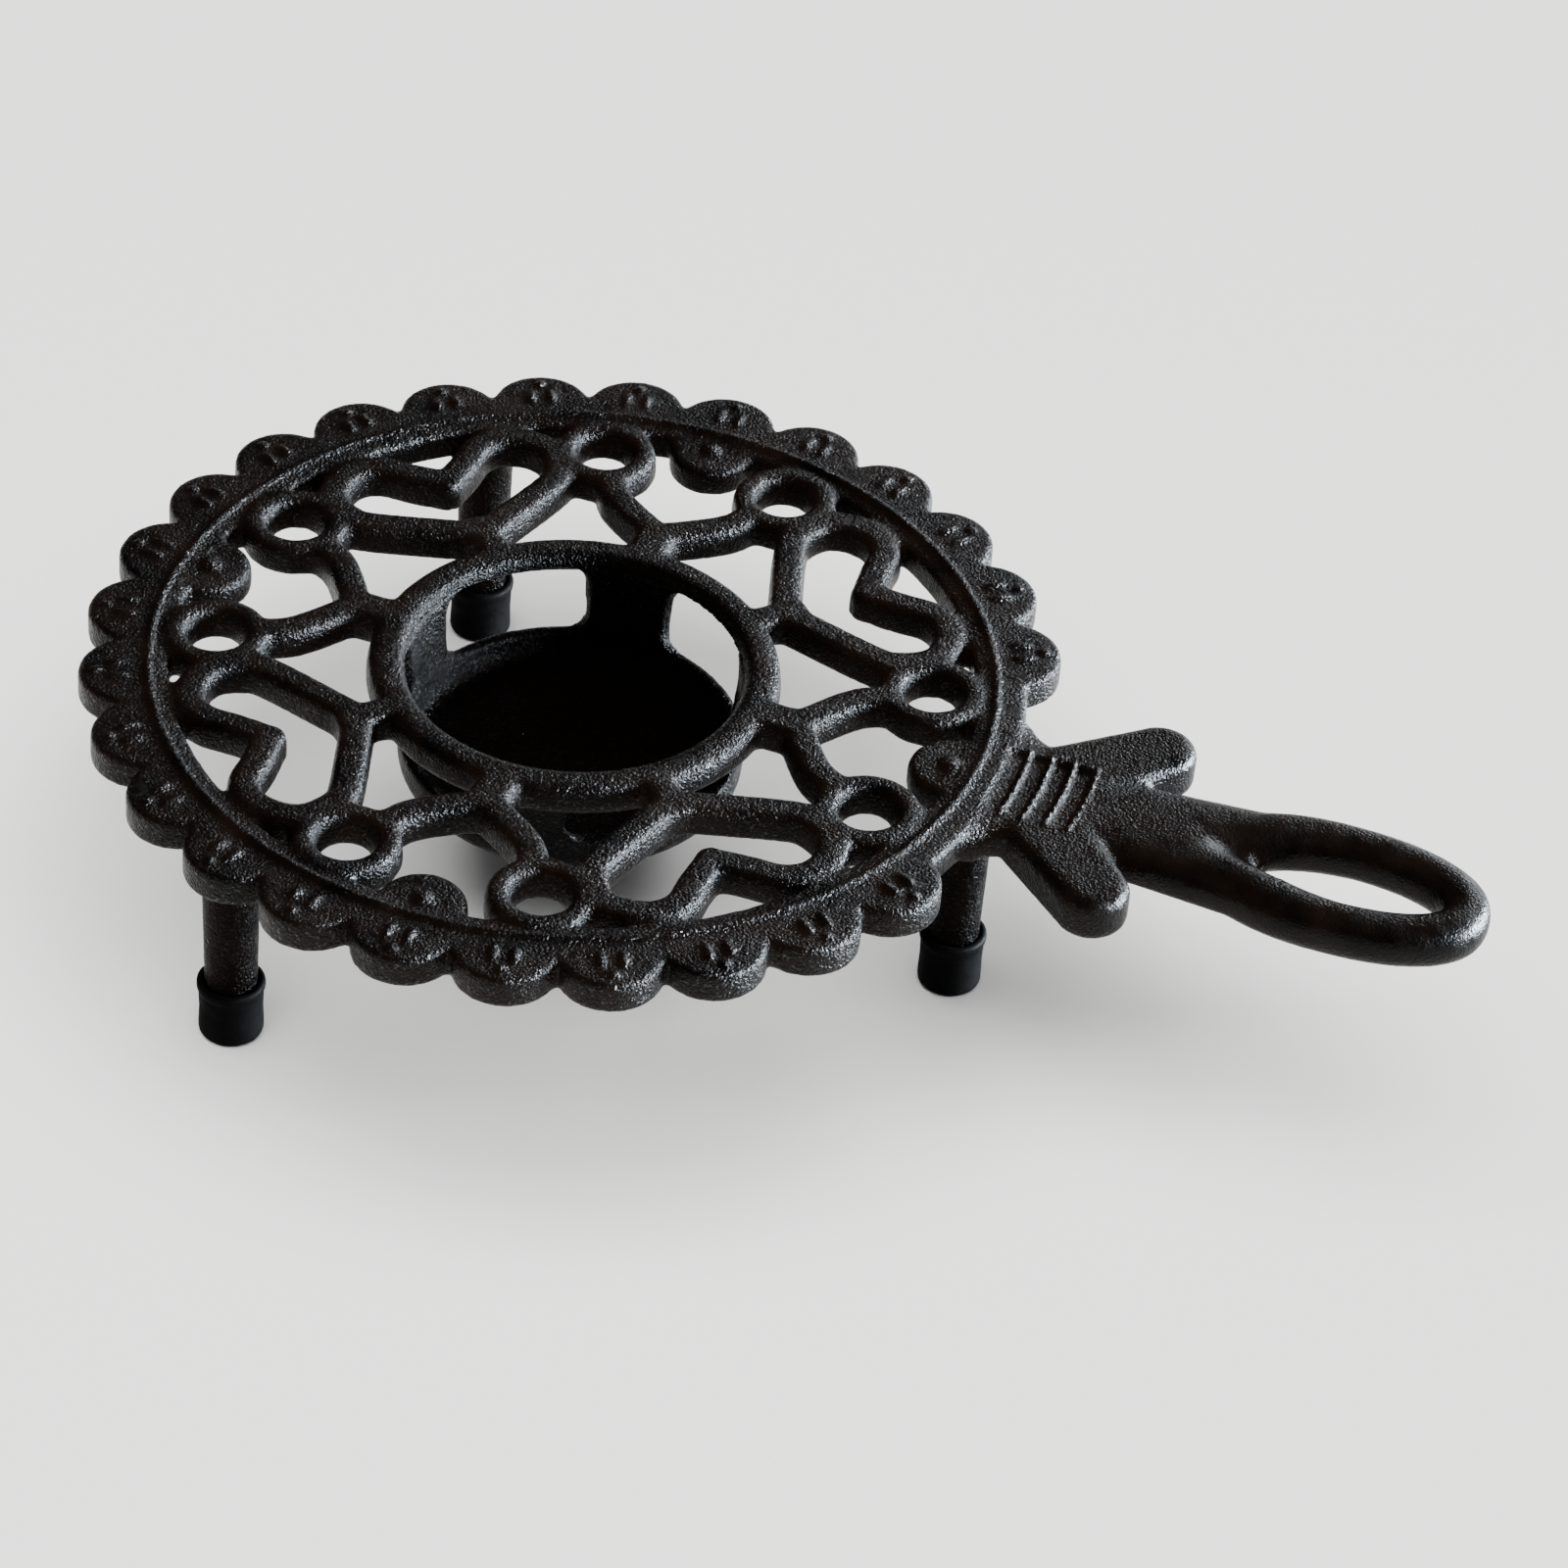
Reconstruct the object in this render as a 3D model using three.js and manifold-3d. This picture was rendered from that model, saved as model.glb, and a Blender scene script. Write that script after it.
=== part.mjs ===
// A cast-iron teapot warmer stand: a round openwork plate with a scalloped rim, a hanging candle
// basket, three legs with push-on rubber caps, and a flat looped handle.
// Millimetres, +Z up, the handle points along +X, the caps stand on z = 0.
import * as THREE from "three";
import { mergeVertices } from "three/addons/utils/BufferGeometryUtils.js";
import Module from "manifold-3d";

const wasm = await Module();
wasm.setup();

const GAP = 0.3; // free space beside neighbouring pieces
const SEAT = 0.05; // free space between pieces that stand on each other
const EDGE = 0.9; // soft cast edge

// Heights
const PLATE_TOP = 39.6; // the flat top of the rim above the table
const RIM_THICKNESS = 4.8;
const WEB_RISE = 0.3; // the openwork rises this much above the rim's top, to just below the raised line
const BEAD_HEIGHT = 0.4; // the thin raised line that the pot stands on
const PLATE_BOTTOM = PLATE_TOP - RIM_THICKNESS;
const WEB_TOP = PLATE_TOP + WEB_RISE;

// Rim
const BEAD_RADIUS = 61;
const BEAD_WIDTH = 1.7;
const RIM_INNER_BAND = 3; // from the bead in to the rim's inner wall
const RIM_INNER_DROP = 0.8; // the inner band slopes down by this much
const RIM_OUTER_BAND = 4.4; // from the bead out to the valleys between the lobes
const LOBE_DEPTH = 5.6;
const LOBE_PLACES = 28; // places for lobes all the way round
const HANDLE_PLACES = 3; // places that the handle takes
const LOBE_ROUNDNESS = 0.7; // 1 is a plain wave, smaller is a fuller lobe
const LOBE_STEPS = 6;
const RIM_INNER_RADIUS = BEAD_RADIUS - RIM_INNER_BAND;
const RIM_VALLEY_RADIUS = BEAD_RADIUS + RIM_OUTER_BAND;

// Four lobes on the inside of the rim, each with a small stud
const TONGUES = 4;
const TONGUE_RADIUS = 6.6;
const TONGUE_SET_IN = 0.5; // of its middle, from the rim's inner wall
const STUD_RADIUS = 1.5;
const STUD_HEIGHT = 0.4;
const STUD_SET_IN = 1; // of its middle, from the rim's inner wall

// Candle basket: a dish that hangs on straps under the centre ring
const CUP_INNER_RADIUS = 23.2;
const CUP_WALL = 2;
const CUP_FLARE = 1; // the straps lean out by this much on their way up
const WINDOW_HEIGHT = 11.2; // the open height between the dish and the ring
const DISH_DEPTH = 4;
const DISH_FLOOR = 2.4;
const DISH_CORNER = 3;
const DISH_INSIDE_CORNER = 1.8;
const STRAP_WIDTH = 12.8;
const STRAP_FOOT = 2.2; // a strap widens by this much each side at both ends
const STRAP_ANGLES = [14.5, 91.5, 175.5, 273.5].map(THREE.MathUtils.degToRad); // the windows are not alike

// Centre ring: thick outside, thinner above the straps
const RING_WIDTH = 5.8;
const RING_LIP = 1.2; // the bore opens by this much towards the top
const RING_SEAT_THICKNESS = 2; // over the straps
const RING_FLANGE_THICKNESS = 4.8; // further out
const RING_INNER_RADIUS = CUP_INNER_RADIUS + CUP_FLARE;
const RING_OUTER_RADIUS = RING_INNER_RADIUS + RING_WIDTH;
const RING_SEAT_Z = WEB_TOP - RING_SEAT_THICKNESS;
const DISH_RIM_Z = RING_SEAT_Z - WINDOW_HEIGHT;
const DISH_FLOOR_Z = DISH_RIM_Z - DISH_DEPTH;
const DISH_BOTTOM_Z = DISH_FLOOR_Z - DISH_FLOOR;

// Brackets: a forked stem with a scroll ring on each arm
const BRACKETS = 4;
const SCROLL_ANGLE = THREE.MathUtils.degToRad(16.2);
const SCROLL_HOLE_RADIUS = 4.1;
const SCROLL_BAND = 4;
const SCROLL_RIM_BAND = 1.8; // what is left of the band where the rim trims it
const STEM_WIDTH = 6.6;
const STEM_LENGTH = 4;
const ARM_WIDTH = 4.6;
const ARM_KNEE_OUT = 9.8; // where an arm bends towards its scroll ring, from the centre ring
const ARM_KNEE_ACROSS = 8.3;
const SCROLL_CENTRE_RADIUS = RIM_INNER_RADIUS - GAP - SCROLL_RIM_BAND - SCROLL_HOLE_RADIUS;
const SCROLL_RADIUS = SCROLL_HOLE_RADIUS + SCROLL_BAND;

// Hearts: one bent bar each side, from the point at the centre ring to the cleft at the rim.
// A point of the line is its share of the way from the ring to the rim, and its share of the heart's
// half width, which reaches a little way past the nearest scroll ring's edge.
const HEARTS = 4;
const HEART_STROKE = 5;
const HEART_POINT_WIDTH = 4.6;
const HEART_POINT_LENGTH = 6.5;
const HEART_TUCK = 0.95;
const HEART_HALF_WIDTH =
  SCROLL_CENTRE_RADIUS * Math.sin(Math.PI / HEARTS - SCROLL_ANGLE) - SCROLL_RADIUS + HEART_TUCK;
const HEART_SIDE = [
  [0.14, 0.045], [0.4, 0.792], [0.5, 0.944], [0.67, 1], [0.8, 0.876],
  [0.875, 0.651], [0.86, 0.427], [0.77, 0.241], [0.62, -0.045],
].map(([out, across]) => new THREE.Vector2(
  THREE.MathUtils.lerp(RING_OUTER_RADIUS, RIM_INNER_RADIUS, out), across * HEART_HALF_WIDTH));
const HEART_STEPS = 15;

// Handle
const HANDLE_DROP = 0.3; // its top lies this much below the rim's
const HANDLE_THICKNESS = 7;
const HANDLE_EDGE = 2;
const HANDLE_LENGTH = 71; // from the rim
const NECK_WIDTH = 22.2;
const NECK_LENGTH = 9; // to where the ears begin
const NECK_THICKNESS = 6;
const WAIST_WIDTH = 17.4;
const EAR_RADIUS = 5.3;
const EAR_SPREAD = 16.4; // of the middle of each ear's tip, from the handle's axis
const EAR_REACH = 18.1; // of the same, from the rim
const GRIP_WIDTH = 24;
const GRIP_LIMB = 7; // the width of the bar round the slot
const GRIP_LENGTH = 41.4;
const GRIP_STEPS = 32;
const GRIP_FULLNESS = 0.9;
const RIBS = 4;
const RIB_START = 1.8; // of the first rib, from the rim
const RIB_SPACING = 3.3;
const RIB_LENGTH = 15.4;
const RIB_WIDTH = 1.1;
const RIB_HEIGHT = 0.4;
const HANDLE_TOP = PLATE_TOP - HANDLE_DROP;
const HANDLE_BOTTOM = HANDLE_TOP - HANDLE_THICKNESS;
const HANDLE_END = RIM_VALLEY_RADIUS + HANDLE_LENGTH;

// Legs and their caps
const LEG_ANGLES = [0, 124, 239].map(THREE.MathUtils.degToRad);
const LEG_SET_IN = 0.9; // of the leg's axis from the bead
const LEG_TOP_RADIUS = 4.15;
const LEG_FOOT_RADIUS = 3.65;
const LEG_FLARE = 1.2;
const LEG_FLARE_LENGTH = 6;
const CAP_HEIGHT = 9.5;
const CAP_WALL = 0.8;
const CAP_FLOOR = 2;
const CAP_CLEARANCE = 0.15;
const CAP_BRIM = 0.25;
const CAP_BRIM_HEIGHT = 1.2;
const CAP_EDGE = 1;

const ROUND_STEPS = 40;
const SCROLL_STEPS = 18;
const LEG_STEPS = 18;

const solidOf = (geometry) => {
  const plain = geometry.clone();
  plain.deleteAttribute("normal");
  plain.deleteAttribute("uv");
  const merged = mergeVertices(plain, 1e-4);
  const vertProperties = new Float32Array(merged.attributes.position.array);
  const triVerts = new Uint32Array(merged.index.array);
  return new wasm.Manifold(new wasm.Mesh({ numProp: 3, vertProperties, triVerts }));
};

const geometryOf = (solid) => {
  const mesh = solid.getMesh();
  const geometry = new THREE.BufferGeometry();
  geometry.setAttribute("position", new THREE.BufferAttribute(new Float32Array(mesh.vertProperties), 3));
  geometry.setIndex(new THREE.BufferAttribute(new Uint32Array(mesh.triVerts), 1));
  geometry.computeVertexNormals();
  return geometry;
};

const turned = (solid, angle) => solid.rotate([0, 0, THREE.MathUtils.radToDeg(angle)]);

const mirrored = (points) => points.map((point) => new THREE.Vector2(point.x, -point.y));

// A solid through rings of points that all have the same count. Seen along the row of rings, each
// ring goes round clockwise from its left side over the top.
const loft = (rings, closed) => {
  const count = rings[0].length;
  const positions = rings.flat().flatMap((point) => [point.x, point.y, point.z]);
  const index = [];
  const bands = closed ? rings.length : rings.length - 1;
  for (let band = 0; band < bands; band += 1) {
    const here = band * count;
    const next = ((band + 1) % rings.length) * count;
    for (let i = 0; i < count; i += 1) {
      const j = (i + 1) % count;
      index.push(here + i, here + j, next + j, here + i, next + j, next + i);
    }
  }
  if (!closed) {
    const last = (rings.length - 1) * count;
    for (let i = 1; i < count - 1; i += 1) {
      index.push(0, i + 1, i, last, last + i, last + i + 1);
    }
  }
  const geometry = new THREE.BufferGeometry();
  geometry.setAttribute("position", new THREE.Float32BufferAttribute(positions, 3));
  geometry.setIndex(index);
  return solidOf(geometry);
};

// A bar with softened edges that follows a flat line of points, or goes round a closed one.
const bar = (points, width, bottom, top, edge = EDGE, closed = false) => {
  const half = width / 2;
  const section = [
    [half, top - edge], [half - edge, top], [edge - half, top], [-half, top - edge],
    [-half, bottom + edge], [edge - half, bottom], [half - edge, bottom], [half, bottom + edge],
  ];
  const rings = points.map((point, i) => {
    const before = points.at(closed ? i - 1 : Math.max(i - 1, 0));
    const last = points.length - 1;
    const after = points[closed ? (i + 1) % points.length : Math.min(i + 1, last)];
    const along = after.clone().sub(before).normalize();
    return section.map(([side, z]) =>
      new THREE.Vector3(point.x - side * along.y, point.y + side * along.x, z));
  });
  return loft(rings, closed);
};

const smooth = (points, steps) =>
  new THREE.SplineCurve(points).getPoints(steps);

// An extruded outline with softened top and bottom edges.
const slab = (shape, bottom, top, edge, curveSegments = 8, bevelSegments = 1) => {
  const geometry = new THREE.ExtrudeGeometry(shape, {
    depth: top - bottom - 2 * edge,
    bevelThickness: edge,
    bevelSize: edge,
    bevelOffset: -edge,
    bevelSegments,
    curveSegments,
  });
  geometry.translate(0, 0, bottom + edge);
  return solidOf(geometry);
};

const lathe = (profile, steps = ROUND_STEPS) => {
  const points = profile.map(([radius, z]) => new THREE.Vector2(radius, z));
  return solidOf(new THREE.LatheGeometry(points, steps).rotateX(Math.PI / 2));
};

// Points of a quarter round in a lathe's profile, from its lowest point out to its side.
const quarter = (radius, z, corner) =>
  [0, 1, 2, 3].map((step) => {
    const angle = (step * Math.PI) / 6;
    return [radius - corner * (1 - Math.sin(angle)), z + corner * (1 - Math.cos(angle))];
  });

const disc = (radius, bottom, top) =>
  lathe([[0, bottom], [radius, bottom], [radius, top], [0, top]], 2 * ROUND_STEPS);

const softTube = (inner, outer, bottom, top, steps) =>
  lathe([
    [inner + EDGE, bottom], [outer - EDGE, bottom], [outer, bottom + EDGE], [outer, top - EDGE],
    [outer - EDGE, top], [inner + EDGE, top], [inner, top - EDGE], [inner, bottom + EDGE],
    [inner + EDGE, bottom],
  ], steps);

// Rim
const LOBE_PITCH = (2 * Math.PI) / LOBE_PLACES;

const rimRadius = (angle) => {
  const fromHandle = Math.abs(Math.atan2(Math.sin(angle), Math.cos(angle)));
  if (fromHandle <= (HANDLE_PLACES * LOBE_PITCH) / 2) {
    return RIM_VALLEY_RADIUS;
  }
  const wave = Math.abs(Math.cos((angle * LOBE_PLACES) / 2));
  return RIM_VALLEY_RADIUS + LOBE_DEPTH * wave ** LOBE_ROUNDNESS;
};

const rimSection = (angle) => {
  const outer = rimRadius(angle);
  const halfBead = BEAD_WIDTH / 2;
  const profile = [
    [RIM_INNER_RADIUS, PLATE_BOTTOM + EDGE], [RIM_INNER_RADIUS, PLATE_TOP - RIM_INNER_DROP],
    [BEAD_RADIUS - halfBead, PLATE_TOP], [BEAD_RADIUS - halfBead / 2, PLATE_TOP + BEAD_HEIGHT],
    [BEAD_RADIUS + halfBead / 2, PLATE_TOP + BEAD_HEIGHT], [BEAD_RADIUS + halfBead, PLATE_TOP],
    [outer - EDGE, PLATE_TOP], [outer, PLATE_TOP - EDGE],
    [outer, PLATE_BOTTOM + EDGE], [outer - EDGE, PLATE_BOTTOM], [RIM_INNER_RADIUS + EDGE, PLATE_BOTTOM],
  ];
  return profile.map(([radius, z]) =>
    new THREE.Vector3(radius * Math.cos(angle), radius * Math.sin(angle), z));
};

const tongue = () => {
  const shape = new THREE.Shape().absarc(RIM_INNER_RADIUS - TONGUE_SET_IN, 0, TONGUE_RADIUS, 0, 2 * Math.PI);
  const stud = new THREE.SphereGeometry(STUD_RADIUS, 8, 6).rotateX(Math.PI / 2);
  stud.scale(1, 1, STUD_HEIGHT / STUD_RADIUS).translate(RIM_INNER_RADIUS - STUD_SET_IN, 0, PLATE_TOP);
  const all = slab(shape, PLATE_BOTTOM, PLATE_TOP, EDGE).add(solidOf(stud));
  return all.intersect(disc(BEAD_RADIUS, PLATE_BOTTOM - GAP, PLATE_TOP + STUD_RADIUS));
};

const rimSolid = () => {
  const sections = [];
  for (let step = 0; step < LOBE_PLACES * LOBE_STEPS; step += 1) {
    sections.push(rimSection((step * LOBE_PITCH) / LOBE_STEPS));
  }
  const ring = loft(sections, true);
  let rim = ring;
  for (let i = 0; i < TONGUES; i += 1) {
    rim = rim.add(turned(tongue(), (i * 2 * Math.PI) / TONGUES));
  }
  return rim;
};

// Everything between the centre ring and the rim is trimmed to this space.
const webSpace = () =>
  disc(RIM_INNER_RADIUS - GAP, PLATE_BOTTOM - GAP, WEB_TOP + GAP)
    .subtract(disc(RING_OUTER_RADIUS + GAP, PLATE_BOTTOM - 2 * GAP, WEB_TOP + 2 * GAP));

const scrollCentre = new THREE.Vector2(Math.cos(SCROLL_ANGLE), Math.sin(SCROLL_ANGLE))
  .multiplyScalar(SCROLL_CENTRE_RADIUS);

// The same solid at both scroll rings of a bracket.
const atScrolls = (solid) =>
  solid.translate([scrollCentre.x, scrollCentre.y, 0])
    .add(solid.translate([scrollCentre.x, -scrollCentre.y, 0]));

const heartBars = (grown = 0) => {
  const side = smooth(HEART_SIDE, HEART_STEPS);
  const point = [-EDGE, HEART_POINT_LENGTH]
    .map((out) => new THREE.Vector2(RING_OUTER_RADIUS + out, 0));
  const bottom = PLATE_BOTTOM - grown;
  const top = WEB_TOP + grown;
  return bar(side, HEART_STROKE + 2 * grown, bottom, top)
    .add(bar(mirrored(side), HEART_STROKE + 2 * grown, bottom, top))
    .add(bar(point, HEART_POINT_WIDTH + 2 * grown, bottom, top));
};

const heartSolid = () => {
  const scrolls = atScrolls(disc(SCROLL_RADIUS + GAP, PLATE_BOTTOM - GAP, WEB_TOP + GAP));
  return heartBars()
    .subtract(turned(scrolls, Math.PI / 4))
    .subtract(turned(scrolls, -Math.PI / 4))
    .intersect(webSpace());
};

const bracketSolid = () => {
  const fork = RING_OUTER_RADIUS + STEM_LENGTH;
  const knee = new THREE.Vector2(RING_OUTER_RADIUS + ARM_KNEE_OUT, ARM_KNEE_ACROSS);
  const toScroll = scrollCentre.clone().sub(knee).setLength(SCROLL_HOLE_RADIUS + SCROLL_BAND / 2);
  const stem = [-EDGE, STEM_LENGTH + ARM_WIDTH / 4]
    .map((out) => new THREE.Vector2(RING_OUTER_RADIUS + out, 0));
  const arm = smooth([
    new THREE.Vector2(fork - STEM_LENGTH / 4, -ARM_WIDTH / 2), new THREE.Vector2(fork, 0),
    knee, scrollCentre.clone().sub(toScroll),
  ], 8);
  const neighbour = heartBars(GAP);
  return bar(stem, STEM_WIDTH, PLATE_BOTTOM, WEB_TOP)
    .add(bar(arm, ARM_WIDTH, PLATE_BOTTOM, WEB_TOP))
    .add(bar(mirrored(arm), ARM_WIDTH, PLATE_BOTTOM, WEB_TOP))
    .subtract(turned(neighbour, Math.PI / 4))
    .subtract(turned(neighbour, -Math.PI / 4))
    .subtract(atScrolls(disc(SCROLL_HOLE_RADIUS, PLATE_BOTTOM - GAP, WEB_TOP + GAP)))
    .add(atScrolls(softTube(SCROLL_HOLE_RADIUS, SCROLL_RADIUS, PLATE_BOTTOM, WEB_TOP, SCROLL_STEPS)))
    .intersect(webSpace());
};

// Basket
const ringSolid = () => {
  const seatOuter = RING_INNER_RADIUS + CUP_WALL + GAP;
  const flangeBottom = WEB_TOP - RING_FLANGE_THICKNESS;
  return lathe([
    [RING_INNER_RADIUS, RING_SEAT_Z], [seatOuter, RING_SEAT_Z], [seatOuter + EDGE, flangeBottom],
    [RING_OUTER_RADIUS - EDGE, flangeBottom], [RING_OUTER_RADIUS, flangeBottom + EDGE],
    [RING_OUTER_RADIUS, WEB_TOP - EDGE], [RING_OUTER_RADIUS - EDGE, WEB_TOP],
    [RING_INNER_RADIUS + RING_LIP + EDGE, WEB_TOP], [RING_INNER_RADIUS + RING_LIP, WEB_TOP - EDGE / 2],
    [RING_INNER_RADIUS, RING_SEAT_Z],
  ]);
};

const strapSolid = () => {
  const bottom = DISH_RIM_Z + SEAT;
  const top = RING_SEAT_Z - SEAT;
  const wall = lathe([
    [CUP_INNER_RADIUS, bottom], [CUP_INNER_RADIUS + CUP_WALL, bottom],
    [RING_INNER_RADIUS + CUP_WALL, top], [RING_INNER_RADIUS, top], [CUP_INNER_RADIUS, bottom],
  ]);
  const half = STRAP_WIDTH / 2;
  const foot = half + STRAP_FOOT;
  const middle = (bottom + top) / 2;
  const outline = new THREE.Shape()
    .moveTo(-foot, bottom)
    .lineTo(foot, bottom)
    .quadraticCurveTo(half, bottom, half, middle)
    .quadraticCurveTo(half, top, foot, top)
    .lineTo(-foot, top)
    .quadraticCurveTo(-half, top, -half, middle)
    .quadraticCurveTo(-half, bottom, -foot, bottom);
  const depth = RING_OUTER_RADIUS;
  const cutter = new THREE.ExtrudeGeometry(outline, { depth, bevelEnabled: false, curveSegments: 5 });
  cutter.rotateX(Math.PI / 2).rotateZ(Math.PI / 2);
  return wall.intersect(solidOf(cutter));
};

const dishSolid = () => {
  const outer = CUP_INNER_RADIUS + CUP_WALL;
  return lathe([
    [0, DISH_BOTTOM_Z], ...quarter(outer, DISH_BOTTOM_Z, DISH_CORNER),
    [outer, DISH_RIM_Z], [CUP_INNER_RADIUS, DISH_RIM_Z],
    ...quarter(CUP_INNER_RADIUS, DISH_FLOOR_Z, DISH_INSIDE_CORNER).reverse(), [0, DISH_FLOOR_Z],
  ]);
};

// Handle
// The grip is one bar bent round the slot, a little fuller than an ellipse.
const gripLine = () => {
  const along = (GRIP_LENGTH - GRIP_LIMB) / 2;
  const across = (GRIP_WIDTH - GRIP_LIMB) / 2;
  const middle = HANDLE_END - GRIP_LENGTH / 2;
  const points = [];
  for (let step = 0; step < GRIP_STEPS; step += 1) {
    const angle = (step * 2 * Math.PI) / GRIP_STEPS;
    const side = Math.sin(angle);
    const fuller = Math.sign(side) * Math.abs(side) ** GRIP_FULLNESS;
    points.push(new THREE.Vector2(middle + along * Math.cos(angle), across * fuller));
  }
  return points;
};

const handleSolid = () => {
  const neckHalf = NECK_WIDTH / 2;
  const waistHalf = WAIST_WIDTH / 2;
  const slotStart = HANDLE_END - GRIP_LENGTH + GRIP_LIMB;
  const earRoot = new THREE.Vector2(RIM_VALLEY_RADIUS + NECK_LENGTH, neckHalf - EAR_RADIUS / 2);
  const earTip = new THREE.Vector2(RIM_VALLEY_RADIUS + EAR_REACH, EAR_SPREAD);
  const neck = new THREE.Shape()
    .moveTo(BEAD_RADIUS, -neckHalf)
    .lineTo(earRoot.x, -neckHalf)
    .lineTo(earTip.x, -waistHalf)
    .lineTo(earTip.x, waistHalf)
    .lineTo(earRoot.x, neckHalf)
    .lineTo(BEAD_RADIUS, neckHalf);
  const gripHalf = GRIP_WIDTH / 2 - HANDLE_EDGE;
  const waistStart = earTip.x - EAR_RADIUS;
  const waistMiddle = (waistStart + slotStart) / 2;
  const waist = new THREE.Shape()
    .moveTo(waistStart, -waistHalf)
    .quadraticCurveTo(waistMiddle, -waistHalf, slotStart, -gripHalf)
    .lineTo(slotStart, gripHalf)
    .quadraticCurveTo(waistMiddle, waistHalf, waistStart, waistHalf);
  let solid = slab(neck, HANDLE_TOP - NECK_THICKNESS, HANDLE_TOP, EDGE)
    .add(slab(waist, HANDLE_BOTTOM, HANDLE_TOP, HANDLE_EDGE, 6))
    .add(bar(gripLine(), GRIP_LIMB, HANDLE_BOTTOM, HANDLE_TOP, HANDLE_EDGE, true));
  for (const side of [1, -1]) {
    const along = side * earTip.clone().sub(earRoot).angle();
    const ear = new THREE.Shape()
      .absarc(earTip.x, side * earTip.y, EAR_RADIUS, along - Math.PI / 2, along + Math.PI / 2)
      .absarc(earRoot.x, side * earRoot.y, EAR_RADIUS, along + Math.PI / 2, along + 1.5 * Math.PI);
    solid = solid.add(slab(ear, HANDLE_BOTTOM, HANDLE_TOP, HANDLE_EDGE));
  }
  for (let rib = 0; rib < RIBS; rib += 1) {
    const ridge = new THREE.BoxGeometry(RIB_WIDTH, RIB_LENGTH, 2 * RIB_HEIGHT);
    ridge.translate(RIM_VALLEY_RADIUS + RIB_START + rib * RIB_SPACING, 0, HANDLE_TOP);
    solid = solid.add(solidOf(ridge));
  }
  return solid.subtract(disc(RIM_VALLEY_RADIUS + GAP, HANDLE_BOTTOM - GAP, PLATE_TOP + GAP));
};

// Legs and caps
const taperTop = PLATE_BOTTOM - LEG_FLARE_LENGTH;

const legRadius = (z) => THREE.MathUtils.mapLinear(z, CAP_FLOOR, taperTop, LEG_FOOT_RADIUS, LEG_TOP_RADIUS);

const legSolid = () => lathe([
  [0, CAP_FLOOR + SEAT], [LEG_FOOT_RADIUS, CAP_FLOOR + SEAT], [LEG_TOP_RADIUS, taperTop],
  [LEG_TOP_RADIUS + LEG_FLARE / 3, PLATE_BOTTOM - LEG_FLARE_LENGTH / 3],
  [LEG_TOP_RADIUS + LEG_FLARE, PLATE_BOTTOM - SEAT], [0, PLATE_BOTTOM - SEAT],
], LEG_STEPS);

const capSolid = () => {
  const inner = legRadius(CAP_HEIGHT) + CAP_CLEARANCE;
  const outer = inner + CAP_WALL;
  return lathe([
    [0, 0], ...quarter(outer, 0, CAP_EDGE),
    [outer, CAP_HEIGHT - CAP_BRIM_HEIGHT - CAP_BRIM],
    [outer + CAP_BRIM, CAP_HEIGHT - CAP_BRIM_HEIGHT], [outer + CAP_BRIM, CAP_HEIGHT], [inner, CAP_HEIGHT],
    [LEG_FOOT_RADIUS + CAP_CLEARANCE, CAP_FLOOR], [0, CAP_FLOOR],
  ], LEG_STEPS);
};

// Assembly
const castIron = new THREE.MeshStandardMaterial({ color: 0x2b2724, roughness: 0.5, metalness: 0.6 });
const blackRubber = new THREE.MeshStandardMaterial({ color: 0x141416, roughness: 0.85, metalness: 0 });

const stand = new THREE.Group();
stand.name = "teapot_warmer_stand";
// The origin is under the middle of the whole outline, so the plate's axis lies at -X.
stand.position.x = -(HANDLE_END - RIM_VALLEY_RADIUS - LOBE_DEPTH) / 2;

const place = (name, solid, material, angle = 0, radius = 0) => {
  const mesh = new THREE.Mesh(geometryOf(solid), material.clone());
  mesh.name = name;
  mesh.position.set(radius * Math.cos(angle), radius * Math.sin(angle), 0);
  mesh.rotation.z = angle;
  stand.add(mesh);
};

const placeRound = (name, count, start, solid) => {
  for (let i = 0; i < count; i += 1) {
    place(`${name}_${i + 1}`, solid, castIron, start + (i * 2 * Math.PI) / count);
  }
};

place("scalloped_rim", rimSolid(), castIron);
place("candle_ring", ringSolid(), castIron);
place("candle_dish", dishSolid(), castIron);
place("handle", handleSolid(), castIron);
placeRound("scroll_bracket", BRACKETS, 0, bracketSolid());
placeRound("heart", HEARTS, Math.PI / HEARTS, heartSolid());
STRAP_ANGLES.forEach((angle, i) => place(`basket_strap_${i + 1}`, strapSolid(), castIron, angle));
LEG_ANGLES.forEach((angle, i) => {
  place(`leg_${i + 1}`, legSolid(), castIron, angle, BEAD_RADIUS - LEG_SET_IN);
  place(`foot_cap_${i + 1}`, capSolid(), blackRubber, angle, BEAD_RADIUS - LEG_SET_IN);
});

export default stand;
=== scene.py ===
"""A cast-iron teapot warmer stand with rubber caps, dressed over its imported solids."""

import logging
import math
from dataclasses import dataclass, field, replace
from enum import Enum

import bmesh
import bpy
from mathutils import Euler, Matrix, Vector


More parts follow.
